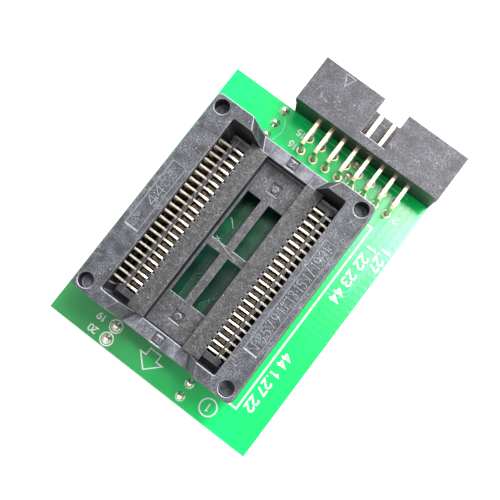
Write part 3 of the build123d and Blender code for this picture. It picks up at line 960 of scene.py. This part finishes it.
@dataclass
class PlugBoard:
    """Printed board with its plug pins, solder, ink and copper lines.

    Args:
        layout: Shared places.
        film: Thickness of ink and pad, and twice that of a copper line.
        ink_line: Width of the printed arrow and of the large circle.
        ring_line: Width of the rings around the end joints.
        ring_radius: Radius of those rings.
        label: Height of the labels beside pins.
        label_line: Width of their strokes.
        circle_radius: Radius of the large circle.
        circle_figure: Height of the figure in it.
        text_line: Width of the line beside the socket and of the strokes of its figures.
        text_width: Width of those figures as a share of their height.
        pad_radius: Middle radius of a pad ring.
        pad_width: Width of a pad ring.
        fine_line: Width of the copper lines below the socket.
        joint: Radius and height pairs of a solder joint on top.
        under_joint: The same on the underside, where solder hangs down a tail.
    """
    layout: Layout
    film: float = 0.03
    ink_line: float = 0.22
    ring_line: float = 0.2
    ring_radius: float = 1.1
    label: float = 1.05
    label_line: float = 0.21
    circle_radius: float = 1.45
    circle_figure: float = 1.35
    text_line: float = 0.3
    text_width: float = 0.66
    pad_radius: float = 0.62
    pad_width: float = 0.24
    fine_line: float = 0.1
    joint: Outline = ((0.86, 0.0), (0.84, 0.05), (0.66, 0.16), (0.52, 0.4), (0.42, 0.72), (0.24, 0.86), (0.0, 0.9))
    under_joint: Outline = ((0.6, 0.0), (0.54, -0.1), (0.36, -0.4), (0.27, -0.8), (0.0, -0.95))

    def build(self) -> None:
        """Dress the board and add what lies on it."""
        dress(Palette.BOARD, "board")
        dress(Palette.STRIP, "plug_strip_left", "plug_strip_right")
        dress(Palette.PLUG_PIN, "plug_pins_left", "plug_pins_right")
        self.pins = {side: sorted(crossings(f"plug_pins_{side.word}", self.layout.top), key=lambda p: p[1])
                     for side in Side}
        self.solder()
        self.under_solder()
        self.pads()
        self.copper()
        self.ink()

    def solder(self) -> None:
        """Solder cones around the plug pins, on the top side."""
        pen = MeshPen()
        for x, y in self.pins[Side.LEFT] + self.pins[Side.RIGHT]:
            pen.lathe(self.joint, Vector((x, y, self.layout.top)))
        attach(pen.object("solder_plug_joints", Palette.SOLDER), "base")

    def under_solder(self) -> None:
        """Solder around the tails of the contacts and of the header, on the underside."""
        pen = MeshPen()
        low = self.layout.board[0].z
        for node in ("contact_springs_left", "contact_springs_right", "header_pins_lower", "header_pins_upper"):
            for x, y in crossings(node, low):
                pen.lathe(self.under_joint, Vector((x, y, low)), 16)
        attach(pen.object("solder_under_tails", Palette.SOLDER), "base")

    def pads(self) -> None:
        """Tinned rings around the header's holes."""
        pen = MeshPen()
        top = self.layout.top
        for node in ("header_pins_lower", "header_pins_upper"):
            for spot in crossings(node, top):
                pen.ribbon(ring(spot, self.pad_radius), self.pad_width, top, top + self.film)
        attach(pen.object("pad_rings", Palette.PAD), "base")

    def copper(self) -> None:
        """Copper lines below the lacquer."""
        low, high, y0 = self.layout.top, self.layout.top + self.film / 2, self.layout.socket_y
        # Two bundles of four fine lines, each with a slanting jog, show through the windows of the base.
        pen = MeshPen()
        for k in range(4):
            right, jog = 2.2 + 0.36 * k, y0 - 7.4 + 0.5 * k
            pen.ribbon([(right - 1.2, y0 - 13.0), (right - 1.2, jog - 1.2), (right, jog), (right, y0 + 7.5 - k)],
                       self.fine_line, low, high)
            left, jog = -0.9 - 0.34 * k, y0 - 6.6 + 0.6 * k
            pen.ribbon([(left, y0 + 3.0 + k), (left, jog), (left - 0.7, jog - 0.7), (left - 0.7, y0 - 12.0)],
                       self.fine_line, low, high)
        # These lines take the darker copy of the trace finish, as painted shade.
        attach(pen.object("copper_lines_below_socket", Palette.TRACE_BARE), "base")
        pen = MeshPen()
        # Lines in the open and their widths: beside the socket, below the header and at its corner
        open_lines = [
            ([(19.2, 18.0), (19.2, 6.0), (17.8, 4.6), (16.0, 4.6)], 0.16),
            ([(19.6, 18.0), (19.6, 5.4), (18.0, 3.8), (16.0, 3.8)], 0.16),
            ([(-3.5, 24.35), (18.0, 24.35)], 0.3),
            ([(9.0, 21.6), (11.2, 19.4), (14.0, 19.4)], 0.25),
            ([(-7.0, 23.5), (-6.1, 22.4), (-5.7, 20.9), (-6.2, 18.9)], 0.22),
        ]
        for path, width in open_lines:
            pen.ribbon(path, width, low, high)
        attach(pen.object("copper_lines", Palette.TRACE), "base")

    def ink(self) -> None:
        """Plain figures, the arrow, the ringed one and the line beside the socket."""
        pen = MeshPen()
        low, high = self.layout.top, self.layout.top + self.film
        y0, line = self.layout.socket_y, self.ink_line
        labels = [("15", -2.85, 24.05), ("16", -2.85, 21.65), ("1", 18.5, 24.0), ("2", 18.5, 21.6),
                  ("19", -10.45, -20.4), ("20", -10.45, -22.8)]
        for text, x, y in labels:
            pen.figures(text, self.label, (x, y + y0), 180.0, low, high, self.label_line)
        for spot in self.pins[Side.LEFT][:2]:
            pen.ribbon(ring(spot, self.ring_radius), self.ring_line, low, high)
        shaft, head, apex = (-0.93, 1.19), (-2.04, 2.41), 0.13
        tail, neck, tip = -19.5, -20.8, -23.0
        arrow = [(shaft[0], tail), (shaft[1], tail), (shaft[1], neck), (head[1], neck), (apex, tip),
                 (head[0], neck), (shaft[0], neck), (shaft[0], tail)]
        pen.ribbon([(x, y + y0) for x, y in arrow], line, low, high)
        circle = (12.33, -21.4 + y0)
        pen.ribbon(ring(circle, self.circle_radius), line, low, high)
        pen.figures("1", self.circle_figure, circle, 180.0, low, high, self.ring_line)
        bracket = [(14.0, 18.3), (16.05, 18.3), (16.05, -18.8), (14.0, -18.8)]
        pen.ribbon([(x, y + y0) for x, y in bracket], self.text_line, low, high)
        # Beside the socket: contact numbers of the corners, the pitch and the count
        for text, height, x, y in (("1.27", 1.5, 20.2, 13.4), ("1 22 23 44", 1.55, 18.0, 8.9),
                                   ("44 1.27 22", 1.5, 17.6, -13.7)):
            pen.figures(text, height, (x, y), -90.0, low, high, self.text_line, self.text_width)
        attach(pen.object("board_print", Palette.INK), "base")


@dataclass
class ContactRow:
    """One row of stamped contacts, each a foot and a sprung leaf with tip and lever.

    Args:
        layout: Shared places.
        side: Which row.
        count: Contacts in the row.
        sheet: Thickness of the stamped sheet.
        leaf: Width of the sprung leaf.
        radius: Radius of the C.
        foot_top: Height of the foot's upper edge above the board.
        bend: Half of the height over which the leaf bends; not used.
    """
    layout: Layout
    side: Side
    count: int = 22
    sheet: float = 0.35
    leaf: float = 0.45
    radius: float = 2.42
    foot_top: float = 3.6
    bend: float = 1.9

    def __post_init__(self) -> None:
        """Read the C's centre from the hinge and the ends from the CAD boxes."""
        hinge = next(j for j in frame["joints"] if j["child"] == f"{self.side.word}_jaws")
        self.flex = (abs(hinge["pos_m"][0]) / MM, hinge["pos_m"][2] / MM)
        low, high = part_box(f"contact_jaws_{self.side.word}")
        self.tip_x, self.lever_x = sorted((abs(low.x) / MM, abs(high.x) / MM))
        self.tip_top = high.z / MM
        middle, half = (high.y + low.y) / MM / 2, (high.y - low.y) / MM / 2 - self.sheet / 2
        self.ys = [middle - half + 2 * half * i / (self.count - 1) for i in range(self.count)]
        foot_low, foot_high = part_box(f"contact_springs_{self.side.word}")
        self.foot_x = sorted((abs(foot_low.x) / MM, abs(foot_high.x) / MM))
        self.tail_end, self.prong_top = foot_low.z / MM, foot_high.z / MM

    def place(self, x: float, z: float, y: float) -> Vector:
        """Point of the outline on this side of the socket."""
        return Vector((self.side.value * x, y, z))

    def foot_outline(self, tail_x: float) -> Outline:
        """Fixed part: prong, foot bar and tail.

        Args:
            tail_x: Distance of the tail from the middle.

        Returns:
            Its corners.
        """
        high = self.layout.top + self.foot_top
        low = high - 0.6
        inner, outer = self.foot_x
        return [(inner, self.prong_top - 0.2), (inner, low), (tail_x - 0.2, low), (tail_x - 0.06, self.tail_end),
                (tail_x + 0.06, self.tail_end), (tail_x + 0.2, low), (outer, low), (outer, high),
                (inner + 0.6, high), (inner + 0.45, high + 0.2), (inner + 0.45, self.prong_top - 0.2),
                (inner + 0.3, self.prong_top), (inner + 0.15, self.prong_top)]

    def leaf_outline(self) -> Outline:
        """Sprung part: riser, C, arm with its tip, and the lever.

        Returns:
            Its corners.
        """
        x, z = self.flex
        inner, outer = self.radius - self.leaf / 2, self.radius + self.leaf / 2
        riser = self.layout.top + self.foot_top - 0.3
        lever_top = self.tip_top - 0.55
        points = [(x + 0.1, riser), (x + 0.65, riser)]
        points += arc(self.flex, outer, -72, 42, 12)
        # The lever leaves the C near its top and ends in a rounded nose.
        points += [(self.lever_x - 0.35, lever_top - 0.42), (self.lever_x - 0.1, lever_top - 0.38),
                   (self.lever_x, lever_top - 0.2), (self.lever_x - 0.1, lever_top - 0.02),
                   (self.lever_x - 0.4, lever_top)]
        points += [(x + 1.5, z + outer - 0.16), (x + 0.9, z + outer - 0.05), (x, z + outer)]
        # Over the comb the arm is nicked, then it arches to the tip.
        points.append((x - 0.45, self.tip_top - 0.12))
        points += [(x - 0.6 - 0.3 * i, self.tip_top - 0.03 * (i - 2) ** 2) for i in range(5)]
        points += [(self.tip_x + 0.1, self.tip_top - 0.16), (self.tip_x, self.tip_top - 0.3),
                   (self.tip_x, self.tip_top - 0.5), (x - 0.5, self.tip_top - 0.55)]
        points += arc(self.flex, inner, 92, -78, 16)
        return points

    def build(self) -> None:
        """Build both parts of every contact."""
        feet, leaves = MeshPen(), MeshPen()
        springs, jaws = f"contact_springs_{self.side.word}", f"contact_jaws_{self.side.word}"
        tails = crossings(springs, self.layout.board[0].z)
        for y in self.ys:
            ends = (y - self.sheet / 2, y + self.sheet / 2)
            tail = min(tails, key=lambda spot: abs(spot[1] - y))
            feet.prism(self.foot_outline(abs(tail[0])), self.place, *ends)
            leaves.prism(self.leaf_outline(), self.place, *ends)
        foot = feet.object(f"contact_feet_{self.side.word}", Palette.CONTACT)
        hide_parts(springs)
        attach(foot, "base")
        leaf = leaves.object(f"contact_leaves_{self.side.word}", Palette.CONTACT)
        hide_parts(jaws)
        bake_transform(leaf)


@dataclass
class SocketBase:
    """Moulded base with ledges, recess and the two combs.

    Args:
        layout: Shared places.
        plate_height: Height of the seat plate above the board.
        hair_radius: Radius of a lint hair.
    """
    layout: Layout
    plate_height: float = 6.0
    hair_radius: float = 0.028

    def build(self) -> None:
        """Dress the base and the combs, and lay a few lint hairs on the seat plate."""
        dress(Palette.BASE, "socket_base")
        dress(Palette.COMB, "contact_comb_left", "contact_comb_right")
        hairs = [[(-2.95, -0.15), (-1.9, -0.7), (-0.6, -1.1), (0.6, -1.35), (1.4, -1.5), (1.95, -1.75)],
                 [(0.5, -0.8), (1.2, -0.72), (2.2, -0.74), (3.3, -0.82)],
                 [(-3.35, -0.95), (-2.8, -0.6), (-2.2, -0.2)],
                 [(-2.9, 3.5), (-2.5, 3.3), (-2.05, 2.8), (-1.55, 2.3)]]
        pen = MeshPen()
        for hair in hairs:
            pen.tube([Vector((x, y, self.layout.top + self.plate_height + self.hair_radius)) for x, y in hair],
                     self.hair_radius, 6)
        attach(pen.object("lint_hairs", Palette.LINT), "base")


@dataclass
class PressCover:
    """Push-down frame with moulded figures.

    Args:
        layout: Shared places.
        panel_inset: From the foot of a long side to the middle of its panel.
        panel_depth: Depth of the panels.
        panel_width: Width of the panels.
        panel_long: Length of the right panel.
        panel_short: Length of the left panel.
        panel_shift: From the middle of the cover to the middle of the panels.
        rim: Width of the line around a panel.
        panel_figure: Height of the figures on a panel.
        panel_line: Width of their strokes.
        mark_figure: Height of the figures on the end beams.
        mark_line: Width of their strokes.
        mark_relief: How far these stand proud of their pocket.
        beam_height: Height of the end beams above the board.
        mark_inset: From the foot of a short side to the middle of a beam's mark.
    """
    layout: Layout
    panel_inset: float = 2.42
    panel_depth: float = 0.12
    panel_width: float = 2.33
    panel_long: float = 19.8
    panel_short: float = 11.7
    panel_shift: float = -0.3
    rim: float = 0.08
    panel_figure: float = 1.65
    panel_line: float = 0.12
    mark_figure: float = 0.85
    mark_line: float = 0.13
    mark_relief: float = 0.1
    beam_height: float = 8.4
    mark_inset: float = 1.16

    def build(self) -> None:
        """Dress the cover and add its moulded figures."""
        dress(Palette.COVER, "socket_cover")
        low, high = self.layout.cover
        top, y0 = high.z, self.layout.socket_y
        floor = top - self.panel_depth
        pen = MeshPen()
        numbers = " ".join(str(number) for number in range(1, 22, 2))
        # Side, length, text and the width of a figure as a share of its height
        panels = ((-1, self.panel_short, "44", 0.8), (1, self.panel_long, numbers, 0.37))
        for sign, length, text, width in panels:
            x, y = sign * (high.x - self.panel_inset), y0 + self.panel_shift
            dx, dy = self.panel_width / 2 - 0.06, length / 2 - 0.06
            rim = [(x + a * dx, y + b * dy) for a, b in ((-1, -1), (1, -1), (1, 1), (-1, 1), (-1, -1))]
            # Both stay a hair below the cover's top, the rim lowest, so that no two faces coincide.
            pen.ribbon(rim, self.rim, floor, top - 0.012)
            pen.figures(text, self.panel_figure, (x, y), 90.0, floor, top - 0.01, self.panel_line, width)
        island = self.layout.top + self.beam_height - self.panel_depth
        for text, y in (("1", low.y + self.mark_inset), ("2", high.y - self.mark_inset)):
            pen.figures(text, self.mark_figure, (0.0, y), 180.0, island, island + self.mark_relief, self.mark_line)
        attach(pen.object("cover_figures", Palette.FIGURE), "cover")


@dataclass
class ReturnSpring:
    """One of the four coils below the corners of the cover.

    Args:
        number: Number of the CAD node.
        wire: Thickness of the wire.
        turns: Turns of the coil.
        travel: Travel of the cover; not used.
        closed_turns: Turns at each end that lie flat.
        flat_share: Share of the height that those ends still rise through.
        steps: Steps in a turn.
    """
    number: int
    wire: float = 0.3
    turns: float = 5.0
    travel: float = 2.6
    closed_turns: float = 0.7
    flat_share: float = 0.06
    steps: int = 22

    def build(self) -> None:
        """Wind the coil with closed ends."""
        node = f"return_spring_{self.number}"
        low, high = (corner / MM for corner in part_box(node))
        middle, height = (low + high) / 2, high.z - low.z
        radius = (high.y - low.y - self.wire) / 2
        total = int(self.turns * self.steps)
        path = []
        for i in range(total + 1):
            share = i / total
            rise = (share * self.turns - self.closed_turns) / (self.turns - 2 * self.closed_turns)
            rise = self.flat_share * share + (1 - self.flat_share) * min(max(rise, 0.0), 1.0)
            turn = 2 * math.pi * i / self.steps
            z = low.z + self.wire / 2 + (height - self.wire) * rise
            path.append(Vector((middle.x + radius * math.cos(turn), middle.y + radius * math.sin(turn), z)))
        pen = MeshPen()
        pen.tube(path, self.wire / 2)
        coil = pen.object(f"coil_{self.number}", Palette.WIRE)
        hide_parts(node)
        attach(coil, "base")
        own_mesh(coil)


@dataclass
class BoxedHeader:
    """Keyed shroud with two rows of bent pins.

    Args:
        layout: Shared places.
        mark_relief: How far the mark of the first pin stands proud.
        mark_line: Width of its line.
        mark_half: Half of its width.
        mark_x: Place of its tip along the header.
        mark_near: From the front of the shroud to its foot.
        mark_far: From the front of the shroud to its tip.
    """
    layout: Layout
    mark_relief: float = 0.06
    mark_line: float = 0.16
    mark_half: float = 0.9
    mark_x: float = -1.1
    mark_near: float = 0.5
    mark_far: float = 2.4

    def build(self) -> None:
        """Dress the header and add the mark of its first pin."""
        dress(Palette.SHROUD, "header_shroud")
        dress(Palette.HEADER_PIN, "header_pins_lower", "header_pins_upper")
        pen = MeshPen()
        top, front = self.layout.shroud[1].z, self.layout.shroud[1].y
        foot, left, right = front - self.mark_near, self.mark_x - self.mark_half, self.mark_x + self.mark_half
        triangle = [(left, foot), (right, foot), (self.mark_x, front - self.mark_far), (left, foot)]
        pen.ribbon(triangle, self.mark_line, top, top + self.mark_relief)
        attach(pen.object("header_mark", Palette.FIGURE), "base")


# Studio

@dataclass(frozen=True)
class Lamp:
    """Square lamp.

    Args:
        name: Name of the lamp.
        place: Where it hangs, in metres.
        size: Length of its side, in metres.
        brightness: Brightness of its face, where white paper in full light is one.
        tint: Colour of its light.
    """
    name: str
    place: tuple[float, float, float]
    size: float
    brightness: float
    tint: tuple[float, float, float] = (1.0, 1.0, 1.0)

    def hang(self, aim: Vector) -> None:
        """Hang the lamp so that it faces a point.

        Args:
            aim: The point, in metres.
        """
        lamp = bpy.data.lights.new(self.name, "AREA")
        lamp.size, lamp.color = self.size, self.tint
        lamp.energy = self.brightness * math.pi * self.size ** 2
        holder = bpy.data.objects.new(self.name, lamp)
        bpy.context.scene.collection.objects.link(holder)
        holder.location = self.place
        holder.rotation_euler = (aim - Vector(self.place)).to_track_quat("-Z", "Y").to_euler()


@dataclass
class Studio:
    """White table, soft lamps and the camera of the photograph.

    Args:
        layout: Shared places.
        focal_px: Focal length found from the photograph, in its pixels.
        width_px: Width of the photograph.
        camera_mm: Place of the camera, found from the known pitches.
        right: Direction of the picture's right side.
        up: Direction of its upper side.
        surround: Brightness of the surroundings as a light.
        paper: Colour of the table.
        glow: How much brighter the table shows to the eye.
        table_side: Length of the table's side, in metres.
        lamps: The lamps.
    """
    layout: Layout
    focal_px: float = 812.63
    width_px: float = 500.0
    camera_mm: tuple[float, float, float] = (13.378, -10.917, 137.645)
    right: tuple[float, float, float] = (0.79533, 0.60611, -0.00924)
    up: tuple[float, float, float] = (-0.60043, 0.78980, 0.12530)
    surround: float = 0.2
    paper: str = "#EDEDEE"
    glow: float = 0.75
    table_side: float = 3.0
    lamps: tuple[Lamp, ...] = (
        # Small and strong, beyond the header: bright rims, and the shade before the socket
        Lamp("window", (0.075, 0.27, 0.30), 0.10, 42.0),
        # Broad, behind it: the grey sheen of black plastic and the glare of the far corners
        Lamp("softbox", (0.12, 0.27, 0.40), 0.42, 2.8, (0.93, 0.95, 1.0)),
        # High: glare in the far right corner of the board and on the far end of the bars
        Lamp("high", (0.075, 0.14, 0.52), 0.08, 36.0),
        # Weak, at the sides: whiter metal in both rows
        Lamp("left", (-0.26, 0.02, 0.34), 0.22, 3.0, (0.97, 0.98, 1.0)),
        Lamp("right", (0.30, 0.03, 0.24), 0.20, 3.2, (0.97, 0.98, 1.0)),
    )

    def build(self) -> None:
        """Set up table, lamps, surroundings and camera."""
        self.table()
        for lamp in self.lamps:
            lamp.hang(Vector((0, 0, self.layout.top * MM)))
        self.surroundings()
        self.camera()
        bpy.context.scene.view_settings.view_transform = "Standard"

    def surroundings(self) -> None:
        """Surroundings that are white to the eye and in reflections, but light the adapter only weakly."""
        world = bpy.data.worlds.new("surroundings")
        bpy.context.scene.world = world
        world.use_nodes = True
        s = Shader(world.node_tree)
        s.add(Node.WORLD_END, s.add(Node.SKY, "#FFFFFF", s.add(Node.LARGER, s.seen(), self.surround)))

    def table(self) -> None:
        """White table that shows bright to the eye and keeps the soft shadow."""
        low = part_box("plug_pins_left")[0].z
        bpy.ops.mesh.primitive_plane_add(size=self.table_side, location=(0, 0, low))
        table = bpy.context.object
        table.name = "table"
        table.data.materials.append(make_material("white_table", self.table_top))

    def table_top(self, s: Shader) -> Socket:
        """Matt white that glows where it is seen.

        Args:
            s: Node tree of the material.

        Returns:
            The surface.
        """
        white = s.add(Node.MATT, self.paper)
        bright = s.add(Node.BOTH, white, s.add(Node.GLOW, "#FFFFFF", self.glow))
        return s.add(Node.CHOICE, s.seen(), white, bright)

    def camera(self) -> None:
        """Camera at the place and turn found from the photograph's known pitches."""
        camera = bpy.data.cameras.new("camera")
        camera.sensor_width = 36.0
        camera.lens = self.focal_px / self.width_px * camera.sensor_width
        camera.clip_start = 0.005
        holder = bpy.data.objects.new("camera", camera)
        bpy.context.scene.collection.objects.link(holder)
        right, up = Vector(self.right), Vector(self.up)
        turn = Matrix((right, up, right.cross(up))).transposed().to_4x4()
        holder.matrix_world = Matrix.Translation(Vector(self.camera_mm) * MM) @ turn
        bpy.context.scene.camera = holder


def main() -> None:
    """Build the whole picture."""
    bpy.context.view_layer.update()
    layout = Layout.read()
    assemblies = [PlugBoard(layout), SocketBase(layout), *[ContactRow(layout, side) for side in Side],
                  PressCover(layout), *[ReturnSpring(number) for number in range(1, 5)], BoxedHeader(layout),
                  Studio(layout)]
    for assembly in assemblies:
        assembly.build()
        LOG.info("built %s", type(assembly).__name__)


if __name__ == "__main__":
    main()
